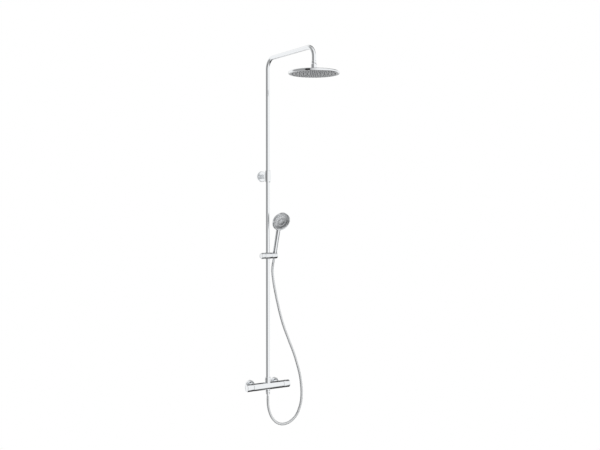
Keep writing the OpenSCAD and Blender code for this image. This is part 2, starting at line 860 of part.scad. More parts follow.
hose_outlet_ferrule();
outlet_nipple();
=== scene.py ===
"""Looks of the rainfall shower column: every visible piece is modelled and finished here,
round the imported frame, in metres and in the frame's own axes."""
import json
from math import atan2, cos, hypot, pi, radians, sin

import bpy
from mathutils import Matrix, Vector


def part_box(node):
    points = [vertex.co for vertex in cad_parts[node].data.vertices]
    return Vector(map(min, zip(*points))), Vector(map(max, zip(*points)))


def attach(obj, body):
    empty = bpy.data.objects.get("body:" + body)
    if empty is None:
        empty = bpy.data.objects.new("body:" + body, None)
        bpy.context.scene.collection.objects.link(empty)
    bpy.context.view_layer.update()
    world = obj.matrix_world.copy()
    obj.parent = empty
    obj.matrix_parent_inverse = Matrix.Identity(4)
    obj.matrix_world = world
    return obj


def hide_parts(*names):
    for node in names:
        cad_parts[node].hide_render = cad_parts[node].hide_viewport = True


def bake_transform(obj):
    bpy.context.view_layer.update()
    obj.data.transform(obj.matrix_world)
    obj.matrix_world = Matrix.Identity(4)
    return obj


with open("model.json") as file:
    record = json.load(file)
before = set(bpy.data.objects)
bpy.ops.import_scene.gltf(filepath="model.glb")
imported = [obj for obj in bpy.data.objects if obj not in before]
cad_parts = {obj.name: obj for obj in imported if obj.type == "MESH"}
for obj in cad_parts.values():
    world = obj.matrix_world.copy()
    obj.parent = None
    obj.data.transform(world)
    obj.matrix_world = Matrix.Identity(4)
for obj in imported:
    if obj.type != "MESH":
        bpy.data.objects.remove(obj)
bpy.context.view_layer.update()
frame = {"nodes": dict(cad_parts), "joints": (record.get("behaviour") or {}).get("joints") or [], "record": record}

bl_info = {
    "name": "Rainfall shower column",
    "version": (1, 0, 0),
    "blender": (4, 5, 0),
    "location": "View3D > Sidebar > Shower column",
    "description": "Builds the pieces of a rainfall shower column round its packed frame",
    "category": "Object",
}

MM = 0.001

# ---- places and sizes that come from the frame ----


def low(node):
    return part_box(node)[0]


def high(node):
    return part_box(node)[1]


def mid(node):
    return (low(node) + high(node)) / 2


def span(node):
    return high(node) - low(node)


def joint(name):
    for row in frame["joints"]:
        if row["name"] == name:
            return row
    raise LookupError(f"the frame has no joint {name}")


AXIS_Y = mid("riser_tube").y
PIPE_R = span("riser_tube").x / 2
PIPE_WALL = 1 * MM
BAR_R = span("temperature_handle").y / 2
BAR_HALF = high("mixer_body").x
INLET_X = mid("escutcheon_right").x
COLLAR_R = span("wall_bracket").x / 2
BRACKET_Z = mid("bracket_base").z
SLIDER_R = span("lock_knob").z / 2
SLIDER_Z = mid("lock_knob").z
HEAD_R = span("rain_head_shell").x / 2
HANDSET_R = span("handset_body").x / 2
HEAD_Z = low("rain_face_plate").z
HEAD_Y = mid("rain_head_shell").y
BALL = Vector(joint("head_tilt_side")["pos_m"])
SOCKET = Vector(joint("holder_tilt")["pos_m"])
GRIP_UP = Vector(joint("handset_lift")["axis"])
SPRAY_AT = Vector(joint("spray_select")["pos_m"])
SPRAY_OUT = Vector(joint("spray_select")["axis"])
GRIP_TURN = atan2(-GRIP_UP.y, GRIP_UP.z)
SPRAY_TURN = atan2(-SPRAY_OUT.y, SPRAY_OUT.z)
HOSE_R = span("hose_outlet_ferrule").x / 2

# ---- colours and nodes ----

# Nearly all of a noise texture's values lie between these two
NOISE_LOW, NOISE_HIGH = 0.3, 0.7


def linear(hex_colour):
    """Linear RGB of an sRGB hex value."""
    values = [int(hex_colour[i:i + 2], 16) / 255 for i in (1, 3, 5)]
    return tuple(v / 12.92 if v <= 0.04045 else ((v + 0.055) / 1.055) ** 2.4 for v in values)


def add_node(tree, kind, settings=None, inputs=None):
    """Adds a node with its settings. An input is a value, or the socket that feeds it."""
    node = tree.nodes.new(kind)
    for key, value in (settings or {}).items():
        setattr(node, key, value)
    for key, value in (inputs or {}).items():
        if isinstance(value, bpy.types.NodeSocket):
            tree.links.new(value, node.inputs[key])
        else:
            node.inputs[key].default_value = value
    return node


def new_material(name):
    """An empty node material with its output and Principled shader."""
    material = bpy.data.materials.new(name)
    material.use_nodes = True
    tree = material.node_tree
    tree.nodes.clear()
    shader = add_node(tree, "ShaderNodeBsdfPrincipled")
    add_node(tree, "ShaderNodeOutputMaterial", None, {"Surface": shader.outputs["BSDF"]})
    return tree, shader


def noise(tree, size_mm):
    """Noise on the piece's own coordinates, whose blobs are about size_mm across."""
    point = add_node(tree, "ShaderNodeTexCoord").outputs["Object"]
    return add_node(tree, "ShaderNodeTexNoise", None, {
        "Vector": point, "Scale": 1 / (size_mm * MM), "Detail": 3, "Roughness": 0.5,
    }).outputs["Fac"]


def vary(tree, shader, size_mm, dark, light):
    """Base colour that wanders between dark and light over patches of size_mm."""
    mix = add_node(tree, "ShaderNodeMix", {"data_type": "RGBA"}, {"Factor": noise(tree, size_mm)})
    mix.inputs["A"].default_value = (*dark, 1)
    mix.inputs["B"].default_value = (*light, 1)
    tree.links.new(mix.outputs["Result"], shader.inputs["Base Color"])


def finish(tree, shader, patch_mm, rough, grain_mm, depth_mm):
    """Roughness that wanders over patches of patch_mm between the two values of rough, and a
    relief depth_mm deep whose grain is grain_mm across."""
    spread = add_node(tree, "ShaderNodeMapRange", None, {
        "Value": noise(tree, patch_mm), "From Min": NOISE_LOW, "From Max": NOISE_HIGH,
        "To Min": rough[0], "To Max": rough[1]})
    tree.links.new(spread.outputs["Result"], shader.inputs["Roughness"])
    relief = add_node(tree, "ShaderNodeBump", None, {
        "Height": noise(tree, grain_mm), "Distance": depth_mm * MM, "Strength": 1})
    tree.links.new(relief.outputs["Normal"], shader.inputs["Normal"])


# ---- materials ----

# The darker patches of a plain finish have this share of its colour
DARK_SHARE = 0.85


def polished_chrome(colours):
    """Chrome electroplated on polished brass: a cool white mirror. Its roughness wanders a
    little where the buffing wheel has passed, over patches some 30 mm wide."""
    tree, shader = new_material("polished_chrome")
    shader.inputs["Base Color"].default_value = (*colours.chrome, 1)
    shader.inputs["Metallic"].default_value = 1
    finish(tree, shader, 30, (0.03, 0.06), 9, 0.004)


def chromed_abs(colours):
    """Chrome plated on moulded ABS: the same mirror, a touch softer, with the faint
    long-wave waviness that a moulding keeps."""
    tree, shader = new_material("chromed_abs")
    shader.inputs["Base Color"].default_value = (*colours.chromed_abs, 1)
    shader.inputs["Metallic"].default_value = 1
    finish(tree, shader, 22, (0.04, 0.08), 14, 0.006)


def satin_spray_plate(colours):
    """Satin chrome on the ABS spray plate: grey and a little blurred, with fine moulding
    grain of about 0.6 mm, drawn twice as coarse as it is so that it shows."""
    tree, shader = new_material("satin_spray_plate")
    vary(tree, shader, 18, colours.spray_dark, colours.spray_light)
    shader.inputs["Metallic"].default_value = 0.85
    finish(tree, shader, 1.2, (0.16, 0.28), 1.2, 0.02)


def hose_steel(colours):
    """Interlocked stainless strip: dull dark grey metal, whose rolled surface scatters what it
    mirrors, with a fine grain along the strip."""
    tree, shader = new_material("hose_steel")
    vary(tree, shader, 2.5, colours.hose_dark, colours.hose_light)
    shader.inputs["Metallic"].default_value = 1
    finish(tree, shader, 0.8, (0.42, 0.56), 0.8, 0.01)


def plain_metal(name, colour, grain_mm, rough):
    """Turned or pressed metal: a clean grey or yellow metal with tool marks of grain_mm."""
    tree, shader = new_material(name)
    vary(tree, shader, 6, [c * DARK_SHARE for c in colour], colour)
    shader.inputs["Metallic"].default_value = 1
    finish(tree, shader, grain_mm, rough, grain_mm, 0.01)


def moulded(name, colour, rough, grain_mm, depth_mm, ior):
    """Moulded plastic or rubber: nearly even colour, with a fine grain from the mould."""
    tree, shader = new_material(name)
    vary(tree, shader, 8, [c * DARK_SHARE for c in colour], colour)
    shader.inputs["IOR"].default_value = ior
    finish(tree, shader, grain_mm, rough, grain_mm, depth_mm)


def painted_board(colours):
    """Matt painted board under the object, almost white, with a faint unevenness."""
    tree, shader = new_material("painted_board")
    vary(tree, shader, 400, [c * 0.97 for c in colours.floor], colours.floor)
    shader.inputs["Roughness"].default_value = 0.9


def make_materials(colours):
    """Makes the material of every slot, and the floor's."""
    painted_board(colours)
    polished_chrome(colours)
    chromed_abs(colours)
    satin_spray_plate(colours)
    hose_steel(colours)
    plain_metal("stainless_steel", colours.steel, grain_mm=0.6, rough=(0.25, 0.4))
    plain_metal("turned_brass", colours.brass, grain_mm=0.5, rough=(0.2, 0.32))
    moulded("epdm_rubber", colours.rubber, (0.5, 0.65), grain_mm=0.8, depth_mm=0.02, ior=1.52)
    moulded("silicone_rubber", colours.silicone, (0.4, 0.5), grain_mm=0.7, depth_mm=0.01,
            ior=1.43)
    moulded("white_acetal", colours.acetal, (0.35, 0.45), grain_mm=1, depth_mm=0.01, ior=1.48)
    moulded("grey_nylon", colours.nylon, (0.4, 0.5), grain_mm=1, depth_mm=0.01, ior=1.53)
    moulded("red_abs", colours.red_abs, (0.12, 0.2), grain_mm=1, depth_mm=0.005, ior=1.54)


MATERIAL_NAMES = {
    "chrome": "polished_chrome", "chromed_plastic": "chromed_abs",
    "spray_plate": "satin_spray_plate", "hose_steel": "hose_steel", "steel": "stainless_steel",
    "brass": "turned_brass", "black_rubber": "epdm_rubber", "grey_silicone": "silicone_rubber",
    "white_plastic": "white_acetal", "grey_plastic": "grey_nylon", "red_plastic": "red_abs",
}


def coat(slot):
    """The material of a slot."""
    return bpy.data.materials[MATERIAL_NAMES[slot]]


# ---- modelling, as by hand ----


def deselect_all():
    if bpy.context.object and bpy.context.object.mode != "OBJECT":
        bpy.ops.object.mode_set(mode="OBJECT")
    bpy.ops.object.select_all(action="DESELECT")


def select_only(piece):
    deselect_all()
    piece.select_set(True)
    bpy.context.view_layer.objects.active = piece


def apply_place():
    bpy.ops.object.transform_apply(location=True, rotation=True, scale=True)


def extrude_by(way):
    bpy.ops.mesh.extrude_region_move(TRANSFORM_OT_translate={"value": way})


def close_mesh(merge):
    """Merges what lies closer than merge, turns every face outwards and leaves edit mode."""
    bpy.ops.mesh.select_all(action="SELECT")
    bpy.ops.mesh.remove_doubles(threshold=merge)
    bpy.ops.mesh.normals_make_consistent(inside=False)
    bpy.ops.object.mode_set(mode="OBJECT")


def mm(*steps, radius=0, height=0):
    """Outline points in metres. A step is (radius, height) or (radius, height, fillet) in
    millimetres, counted from the given radius and height."""
    return [(radius + step[0] * MM, height + step[1] * MM, *[fillet * MM for fillet in step[2:]])
            for step in steps]


def rounded(corners, steps=4):
    """Outline through corners (radius, height, fillet), with an arc-like curve at each corner."""
    share = 0.48  # of each side that a fillet may take, so that two never meet
    points = []
    for i, (radius, height, fillet) in enumerate(corners):
        here = Vector((radius, height))
        if fillet == 0 or i in (0, len(corners) - 1):
            points.append(here)
            continue
        back = Vector(corners[i - 1][:2]) - here
        ahead = Vector(corners[i + 1][:2]) - here
        reach = min(fillet, share * back.length, share * ahead.length)
        start = here + back.normalized() * reach
        end = here + ahead.normalized() * reach
        for k in range(steps + 1):
            t = k / steps
            points.append(start * (1 - t) ** 2 + here * 2 * t * (1 - t) + end * t * t)
    return points


def turned(name, outline, sides=96, hollow=False):
    """Turns an outline of (radius, height): a circle is extruded and scaled from point to
    point. A hollow piece's outline goes up the outside and back down the inside."""
    deselect_all()
    radius, height = outline[0]
    bpy.ops.mesh.primitive_circle_add(
        vertices=sides, radius=radius, location=(0, 0, height),
        fill_type="NOTHING" if hollow else "NGON")
    piece = bpy.context.object
    piece.name = piece.data.name = name
    apply_place()
    bpy.ops.object.mode_set(mode="EDIT")
    for r, z in outline[1:]:
        extrude_by((0, 0, z - height))
        bpy.ops.transform.resize(value=(r / radius, r / radius, 1), center_override=(0, 0, z))
        radius, height = r, z
    if hollow:
        bpy.ops.mesh.select_all(action="DESELECT")
        bpy.ops.mesh.select_non_manifold()
        bpy.ops.mesh.bridge_edge_loops()
    close_mesh(merge=1e-7)
    return piece


def stand(piece, place, turn=(0, 0, 0)):
    """Puts a piece in its place and applies that to its mesh."""
    select_only(piece)
    piece.rotation_euler = turn
    piece.location = place
    apply_place()
    return piece


def shaped(piece, kind, **settings):
    """Adds a modifier of that kind with its settings, and applies it."""
    select_only(piece)
    modifier = piece.modifiers.new(kind.lower(), kind)
    for key, value in settings.items():
        setattr(modifier, key, value)
    bpy.ops.object.modifier_apply(modifier=modifier.name)


def cut(piece, tool, operation="DIFFERENCE"):
    """Boolean of piece with tool, which is used up."""
    shaped(piece, "BOOLEAN", operation=operation, solver="EXACT", object=tool)
    bpy.data.objects.remove(tool)


def copied(piece, name):
    twin = piece.copy()
    twin.data = piece.data.copy()
    twin.name = twin.data.name = name
    bpy.context.scene.collection.objects.link(twin)
    return twin


def done(piece, slot, body, *nodes, angle=35):
    """Smooths, finishes and mounts a piece that stands for CAD nodes."""
    if not piece.data.polygons:
        raise RuntimeError(f"{piece.name} has no faces")
    select_only(piece)
    bpy.ops.object.shade_smooth_by_angle(angle=radians(angle))
    piece.data.materials.clear()
    piece.data.materials.append(coat(slot))
    if body:
        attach(piece, body)
    if nodes:
        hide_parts(*nodes)


ALONG_X = (0, pi / 2, 0)
ALONG_MINUS_X = (0, -pi / 2, 0)
FROM_WALL = (pi / 2, 0, 0)
UP_GRIP = (GRIP_TURN, 0, 0)
OUT_SPRAY = (SPRAY_TURN, 0, 0)
ON_AXIS = (0, AXIS_Y, 0)
ON_SLIDER = (0, AXIS_Y, SLIDER_Z)
SIDES = ((-1, "left"), (1, "right"))

# ---- hose ----

# Centreline from the handset's ferrule down to the loop and up to the outlet, in metres
HOSE_ROUTE = [
    (0.040, -0.053, 0.636), (0.041, -0.050, 0.608), (0.043, -0.051, 0.580),
    (0.046, -0.054, 0.550), (0.050, -0.057, 0.520), (0.055, -0.060, 0.490),
    (0.060, -0.063, 0.460), (0.066, -0.066, 0.430), (0.072, -0.069, 0.400),
    (0.080, -0.073, 0.365), (0.089, -0.077, 0.330), (0.100, -0.081, 0.295),
    (0.113, -0.085, 0.260), (0.126, -0.088, 0.225), (0.140, -0.091, 0.190),
    (0.153, -0.093, 0.155), (0.164, -0.095, 0.120), (0.174, -0.097, 0.085),
    (0.183, -0.098, 0.050), (0.189, -0.099, 0.015), (0.193, -0.100, -0.025),
    (0.194, -0.100, -0.065), (0.190, -0.099, -0.105), (0.180, -0.097, -0.140),
    (0.164, -0.095, -0.172), (0.140, -0.092, -0.196), (0.110, -0.089, -0.211),
    (0.076, -0.086, -0.213), (0.046, -0.082, -0.200), (0.022, -0.078, -0.173),
    (0.008, -0.075, -0.140), (0.001, -0.073, -0.105), (0.000, -0.072, -0.078),
]
# The route's lowest point, where the hose turns back up
LOOP_FOOT = 27
# Where one stretch ends and the next starts, in multiples of the hose bend length
HOSE_MARKS = (0, 0.4, 1.4, 2.4)
SAMPLES_PER_TURN = 5
# Depth of the groove between two turns of the strip, as a share of the hose's radius
GROOVE_SHARE = 0.045


def hose_ends():
    """Where the hose leaves the handset's ferrule, and where it enters the outlet's."""
    reach = (low("hose_top_ferrule").z - SOCKET.z - HOSE_R * GRIP_UP.y) / GRIP_UP.z
    return SOCKET + GRIP_UP * reach, Vector((0, AXIS_Y, low("hose_outlet_ferrule").z))


def length_of(points):
    return sum((b - a).length for a, b in zip(points, points[1:]))


def smooth_curve(points, step):
    """Points step apart on the smooth curve through the given points."""
    fine, fine_step = [], 0.2 * step
    last = len(points) - 1
    for i in range(last):
        a, b = points[max(i - 1, 0)], points[i]
        c, d = points[i + 1], points[min(i + 2, last)]
        count = max(2, round((c - b).length / fine_step))
        for k in range(count):
            t = k / count
            fine.append(0.5 * (2 * b + (c - a) * t + (2 * a - 5 * b + 4 * c - d) * t ** 2
                               + (3 * b - a - 3 * c + d) * t ** 3))
    fine.append(points[-1])
    length = length_of(fine)
    count = round(length / step)
    even, walked, i = [fine[0]], 0.0, 0
    for k in range(1, count):
        want = length * k / count
        while walked + (fine[i + 1] - fine[i]).length < want:
            walked += (fine[i + 1] - fine[i]).length
            i += 1
        share = (want - walked) / (fine[i + 1] - fine[i]).length
        even.append(fine[i].lerp(fine[i + 1], share))
    return [*even, fine[-1]]


def tube(name, points, radius_at, sides=20):
    """Closed tube of quads along points, whose radius comes from the distance walked."""
    verts, faces, walked = [], [], 0.0
    side = Vector((1, 0, 0))
    last = len(points) - 1
    for i, point in enumerate(points):
        heading = (points[min(i + 1, last)] - points[max(i - 1, 0)]).normalized()
        side = (side - heading * side.dot(heading)).normalized()
        over = heading.cross(side)
        if i:
            walked += (point - points[i - 1]).length
        radius = radius_at(walked)
        for k in range(sides):
            angle = 2 * pi * k / sides
            verts.append(point + radius * (cos(angle) * side + sin(angle) * over))
    for i in range(last):
        for k in range(sides):
            a, b = i * sides + k, i * sides + (k + 1) % sides
            faces.append((a, b, b + sides, a + sides))
    faces.append(tuple(reversed(range(sides))))
    faces.append(tuple(range(last * sides, (last + 1) * sides)))
    mesh = bpy.data.meshes.new(name)
    mesh.from_pydata(verts, [], faces)
    piece = bpy.data.objects.new(name, mesh)
    bpy.context.scene.collection.objects.link(piece)
    return piece


def strip_profile(pitch):
    """Radius of interlocked strip: a rounded crest and a groove in each turn of pitch."""
    def radius_at(walked):
        phase = (walked / pitch) % 1
        return HOSE_R * (1 - GROOVE_SHARE * (0.5 - 0.5 * cos(2 * pi * phase)) ** 3)
    return radius_at


class SHOWER_OT_hose(bpy.types.Operator):
    """Hose from the handset to the outlet, in five stretches: the last rides on the column, the others stay
    unmounted
    """
    bl_idname = "shower.hose"
    bl_label = "Hose"

    def execute(self, context):
        sizes = context.scene.shower_sizes
        top, foot = hose_ends()
        route = [Vector(point) for point in HOSE_ROUTE]
        line = smooth_curve([top, *route, foot], sizes.hose_pitch / SAMPLES_PER_TURN)
        loop_foot = min(range(len(line)), key=lambda i: (line[i] - route[LOOP_FOOT]).length)
        per_metre = len(line) / length_of(line)
        marks = [round(sizes.hose_bend * share * per_metre) for share in HOSE_MARKS]
        marks += [loop_foot, len(line) - 1]
        names = ["hose_at_handset", "hose_at_holder", "hose_at_slider", "hose_rise", "hose_return"]
        across = [("handset", "holder"), ("holder", "slider"), ("slider", "slider_carriage"),
                  ("slider_carriage", "column"), None]
        for name, start, end, bodies in zip(names, marks, marks[1:], across):
            points = line[start:end + 1]
            piece = tube(name, points, strip_profile(sizes.hose_pitch))
            done(piece, "hose_steel", None if bodies else "column", angle=60)
            if bodies:
                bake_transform(piece)
        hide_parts("hose")
        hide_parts("hose")
        return {"FINISHED"}


# ---- mixer ----


def thread(root, crest, start, end, pitch):
    """Steps of a thread's ridges, drawn as rings, all in millimetres."""
    heights = [start + i * pitch for i in range(int((end - start) / pitch))]
    return [step for z in heights for step in ((root, z, 0), (crest, z + pitch * 0.5, 0))]


def hexagon(name, radius, height, bore):
    """Hexagon nut: a six-sided prism whose corners are turned off at both ends, then bored."""
    deselect_all()
    blank = radius * 1.03  # so that its corners stand proud of the chamfer
    bpy.ops.mesh.primitive_cylinder_add(
        vertices=6, radius=blank, depth=height, location=(0, 0, height / 2))
    nut = bpy.context.object
    nut.name = nut.data.name = name
    apply_place()
    chamfer = turned("chamfer", [
        *mm((-1.6, 0), (0, 1), radius=radius),
        *mm((0, -1), (-1.6, 0), radius=radius, height=height)])
    cut(nut, chamfer, "INTERSECT")
    cut(nut, turned("drill", [(bore, -height), (bore, 2 * height)]))
    shaped(nut, "BEVEL", width=0.3 * MM, segments=2, limit_method="ANGLE",
           angle_limit=radians(25))
    return nut


def rosette(name, node, bore, wall, roundings):
    """Domed cover plate on the wall, with a hole in its middle. Bore, wall and the roundings of
    its rim, hole and inside are in millimetres."""
    radius, depth = span(node).x / 2, span(node).y
    rim, hole, inside = roundings
    return turned(name, rounded([
        *mm((-2, 0.05, 0), (0, 0.05, 0.6), radius=radius),
        *mm((0, 0, rim), radius=radius, height=depth),
        *mm((bore, 0, 0.6), (bore, -wall, hole), height=depth),
        *mm((-2, -wall, inside), radius=radius, height=depth)], steps=6), hollow=True)


class SHOWER_OT_mixer_body(bpy.types.Operator):
    """Fixed middle of the bar, with its inlet necks and its top and bottom outlets"""
    bl_idname = "shower.mixer_body"
    bl_label = "Mixer body"

    def execute(self, context):
        edge = context.scene.shower_sizes.edge_round
        groove, wall = 0.6 * MM, 3 * MM
        bar = turned("mixer_bar", rounded([
            (BAR_R - wall, -BAR_HALF, 0), (BAR_R - groove, -BAR_HALF, 0),
            (BAR_R, -BAR_HALF + groove, edge), (BAR_R, BAR_HALF - groove, edge),
            (BAR_R - groove, BAR_HALF, 0), (BAR_R - wall, BAR_HALF, 0)]), sides=128)
        done(stand(bar, ON_AXIS, ALONG_X), "chrome", "column", "mixer_body", angle=30)
        top = turned("mixer_top_outlet", rounded([
            *mm((14, -8, 0), height=BAR_R),
            *mm((14, 0, 1), (11.5, 0, 0), height=high("mixer_body").z)]))
        done(stand(top, ON_AXIS), "chrome", "column", "mixer_body")
        boss_end = high("hose_outlet_nut").z + 0.2 * MM
        bottom = turned("mixer_bottom_outlet", rounded([
            *mm((9.2, 0, 0), (12.4, 0, 0.8), (13, 5, 1), height=boss_end),
            *mm((13, 8, 0), height=-BAR_R)]))
        done(stand(bottom, ON_AXIS), "chrome", "column", "mixer_body")
        for side, word in SIDES:
            neck = turned("mixer_neck_" + word, rounded(mm(
                (9, 0, 0), (12.8, 0, 0.5), (12.8, 3, 0.5), (10, 3.4, 0.5), (10, 20, 0),
                height=-high("mixer_body").y)))
            stand(neck, (side * INLET_X, 0, 0), FROM_WALL)
            done(neck, "chrome", "column", "mixer_body")
        return {"FINISHED"}


class SHOWER_OT_wall_inlets(bpy.types.Operator):
    """Escutcheons, union ends and union nuts of the two wall inlets"""
    bl_idname = "shower.wall_inlets"
    bl_label = "Wall inlets"

    def execute(self, context):
        for side, word in SIDES:
            place = (side * INLET_X, 0, 0)
            cup = rosette("escutcheon_dome_" + word, "escutcheon_left", 13.2, 2.4, (5, 0.4, 3))
            done(stand(cup, place, FROM_WALL), "chrome", "column", "escutcheon_" + word)
            nut = hexagon("union_nut_" + word, 17.2 * MM, 16 * MM, 10.3 * MM)
            stand(nut, (side * INLET_X, high("inlet_nut_" + word).y, 0), FROM_WALL)
            done(nut, "chrome", "column", "inlet_nut_" + word, angle=25)
            union = turned("union_end_" + word, rounded(mm(
                (8, -22, 0), (9.6, -22, 0),
                *thread(root=9.6, crest=10.4, start=-21, end=-1, pitch=1.81),
                (10.4, 4, 0), (13, 4, 0.4), (13, 27, 0), (12.6, 33.9, 0.4), (8, 33.9, 0))),
                hollow=True)
            done(stand(union, place, FROM_WALL), "chrome", "column", "wall_union_" + word)
        return {"FINISHED"}


class SHOWER_OT_handles(bpy.types.Operator):
    """Temperature and flow handles, their caps and buttons"""
    bl_idname = "shower.handles"
    bl_label = "Handles"

    def execute(self, context):
        edge = context.scene.shower_sizes.edge_round
        inner, outer = low("temperature_handle").x, high("temperature_handle").x
        cap_r = span("temperature_handle_cap").y / 2
        ends = (("temperature", "stop", ALONG_X, 1), ("flow", "eco", ALONG_MINUS_X, -1))
        for name, button, turn, side in ends:
            handle = name + "_handle"
            grip = turned(name + "_grip", rounded([
                *mm((16, 0, 0), height=inner),
                *mm((-0.5, 0, 0.2), (0, 0.5, 0.3), radius=BAR_R, height=inner),
                (BAR_R, outer, 3 * edge),
                *mm((0.15, 0, 0.3), (0.15, -3, 0), radius=cap_r, height=outer),
                *mm((16, -5, 0), height=outer)]), sides=128, hollow=True)
            stand(grip, ON_AXIS, turn)
            button_place = (side * abs(mid(button + "_button").x), AXIS_Y, 0)
            hole = turned("hole", mm((5.2, 8), (5.2, 30)), sides=48)
            cut(grip, stand(hole, button_place))
            done(grip, "chrome", handle, handle, angle=30)
            cap = turned(name + "_cap", rounded([
                *mm((-1, -2.9, 0), (0, -2.9, 0), (0, -0.1, 0.5), (-4, -0.1, 0.4),
                    (-4.6, -0.5, 0.4), radius=cap_r, height=outer),
                *mm((2, -0.5, 0), height=outer)]))
            done(stand(cap, ON_AXIS, turn), "chrome", handle, handle + "_cap")
            press = turned(button + "_press", rounded([
                *mm((5.9, 12.5, 0), (5.9, 14.5, 0), (5, 14.6, 0)),
                *mm((5, 0, 0.7), (1, -0.2, 0), height=high(button + "_button").z)]), sides=48)
            stand(press, button_place)
            done(press, "chromed_plastic", button + "_button", button + "_button")
        return {"FINISHED"}


# ---- riser, bracket and arm ----


class SHOWER_OT_riser(bpy.types.Operator):
    """Riser pipe and the nut at its foot"""
    bl_idname = "shower.riser"
    bl_label = "Riser"

    def execute(self, context):
        foot, head = low("riser_tube").z, high("riser_tube").z
        inner_r = PIPE_R - PIPE_WALL
        rings = [(PIPE_R, z) for z in (0.3, 0.6, 0.9)]  # part the pipe's long faces
        pipe = turned("riser_pipe", [
            (PIPE_R, foot), *rings, (PIPE_R, head), (inner_r, head), (inner_r, foot)],
            sides=64, hollow=True)
        done(stand(pipe, ON_AXIS), "chrome", "column", "riser_tube")
        foot, head = low("riser_nut").z, high("riser_nut").z
        nut_r = span("riser_nut").x / 2
        nut = turned("riser_union_nut", rounded([
            *mm((0.1, 0, 0), radius=PIPE_R, height=foot),
            *mm((-1, 0, 0), (0, 1, 0.5), (0, 8, 0.3), (-0.7, 8.7, 0.3), (-0.7, 10, 0.3),
                (0, 10.7, 0.3), radius=nut_r, height=foot),
            *mm((0, -4, 1.5), (-3, 0, 0.6), radius=nut_r, height=head),
            *mm((0.1, 0, 0), radius=PIPE_R, height=head)]), hollow=True)
        done(stand(nut, ON_AXIS), "chrome", "column", "riser_nut")
        return {"FINISHED"}


class SHOWER_OT_wall_bracket(bpy.types.Operator):
    """Barrel collar, stem and rosette of the upper wall bracket"""
    bl_idname = "shower.wall_bracket"
    bl_label = "Wall bracket"

    def execute(self, context):
        foot, head = low("wall_bracket").z, high("wall_bracket").z
        belly, fullness, steps = 2 * MM, 0.8, 12
        end_r = COLLAR_R - belly
        edge_r = end_r - 0.8 * MM
        bore = PIPE_R + 0.15 * MM
        barrel = [(end_r + (COLLAR_R - end_r) * sin(pi * k / steps) ** fullness,
                   foot + 1 * MM + (head - foot - 2 * MM) * k / steps, 0)
                  for k in range(steps + 1)]
        collar = turned("bracket_collar", rounded([
            (bore, foot, 0), (edge_r, foot, 0), *barrel, (edge_r, head, 0), (bore, head, 0)]),
            hollow=True)
        done(stand(collar, ON_AXIS), "chrome", "column", "wall_bracket")
        stem = turned("bracket_stem", rounded([
            *mm((10, 12, 0)), *mm((10, -16, 0), (10, -12.5, 0), height=-AXIS_Y)]), sides=64)
        done(stand(stem, (0, 0, BRACKET_Z), FROM_WALL), "chrome", "column", "wall_bracket")
        plate = rosette("wall_rosette", "bracket_rosette", 10.3, 2, (3.5, 0, 2))
        done(stand(plate, (0, 0, BRACKET_Z), FROM_WALL), "chrome", "column", "bracket_rosette")
        return {"FINISHED"}


class SHOWER_OT_arm(bpy.types.Operator):
    """Bent pipe from the bracket's collar over to the rain head, extruded and spun"""
    bl_idname = "shower.arm"
    bl_label = "Arm"

    def execute(self, context):
        bend = context.scene.shower_sizes.bend_radius
        foot = low("shower_arm").z
        line_z = high("shower_arm").z - PIPE_R
        leg_end = BALL.z + 16 * MM  # inside the nipple's sleeve
        rise = line_z - bend - foot
        reach = AXIS_Y - HEAD_Y - 2 * bend
        deselect_all()
        bpy.ops.mesh.primitive_circle_add(vertices=64, radius=PIPE_R, location=(0, AXIS_Y, foot))
        arm = bpy.context.object
        arm.name = arm.data.name = "arm_pipe"
        apply_place()
        bpy.ops.object.mode_set(mode="EDIT")
        stretches = (((0, 0, rise / 2), AXIS_Y - bend), ((0, -reach / 2, 0), HEAD_Y + bend))
        for half, centre_y in stretches:
            extrude_by(half)
            extrude_by(half)
            bpy.ops.mesh.spin(steps=28, angle=-pi / 2, center=(0, centre_y, line_z - bend),
                              axis=(1, 0, 0))
        extrude_by((0, 0, leg_end - line_z + bend))
        close_mesh(merge=1e-6)
        shaped(arm, "SOLIDIFY", thickness=PIPE_WALL, offset=-1)
        done(arm, "chrome", "arm", "shower_arm")
        return {"FINISHED"}


class SHOWER_OT_ball_joint(bpy.types.Operator):
    """Ball nipple on the arm's end and the nut that holds the rain head on it"""
    bl_idname = "shower.ball_joint"
    bl_label = "Ball joint"

    def execute(self, context):
        ball_r, steps = 10 * MM, 12
        ball = [(ball_r * sin(pi * k / steps), -ball_r * cos(pi * k / steps), 0)
                for k in range(2, steps - 2)]
        # The sleeve's foot, 12.2 mm over the ball, clears the nut at its full tilt
        nipple = turned("arm_end_nipple", rounded([
            *ball, *mm((6, 9, 1), (6, 12.2, 0.6), (12.4, 12.4, 0.6), (12.4, 23, 1),
                       (11.2, 24, 0))]))
        done(stand(nipple, BALL), "chrome", "arm", "ball_nipple")
        nut = turned("ball_joint_nut", rounded(mm(
            (13.3, -9, 0), (15, -9, 0.4), (15, 6, 2), (12.5, 9, 0.8), (9.3, 9, 0.4), (9.3, 5, 0),
            (11, 2, 0), (13.3, -1, 0))), hollow=True)
        done(stand(nut, BALL), "chrome", "rain_head", "ball_nut")
        return {"FINISHED"}


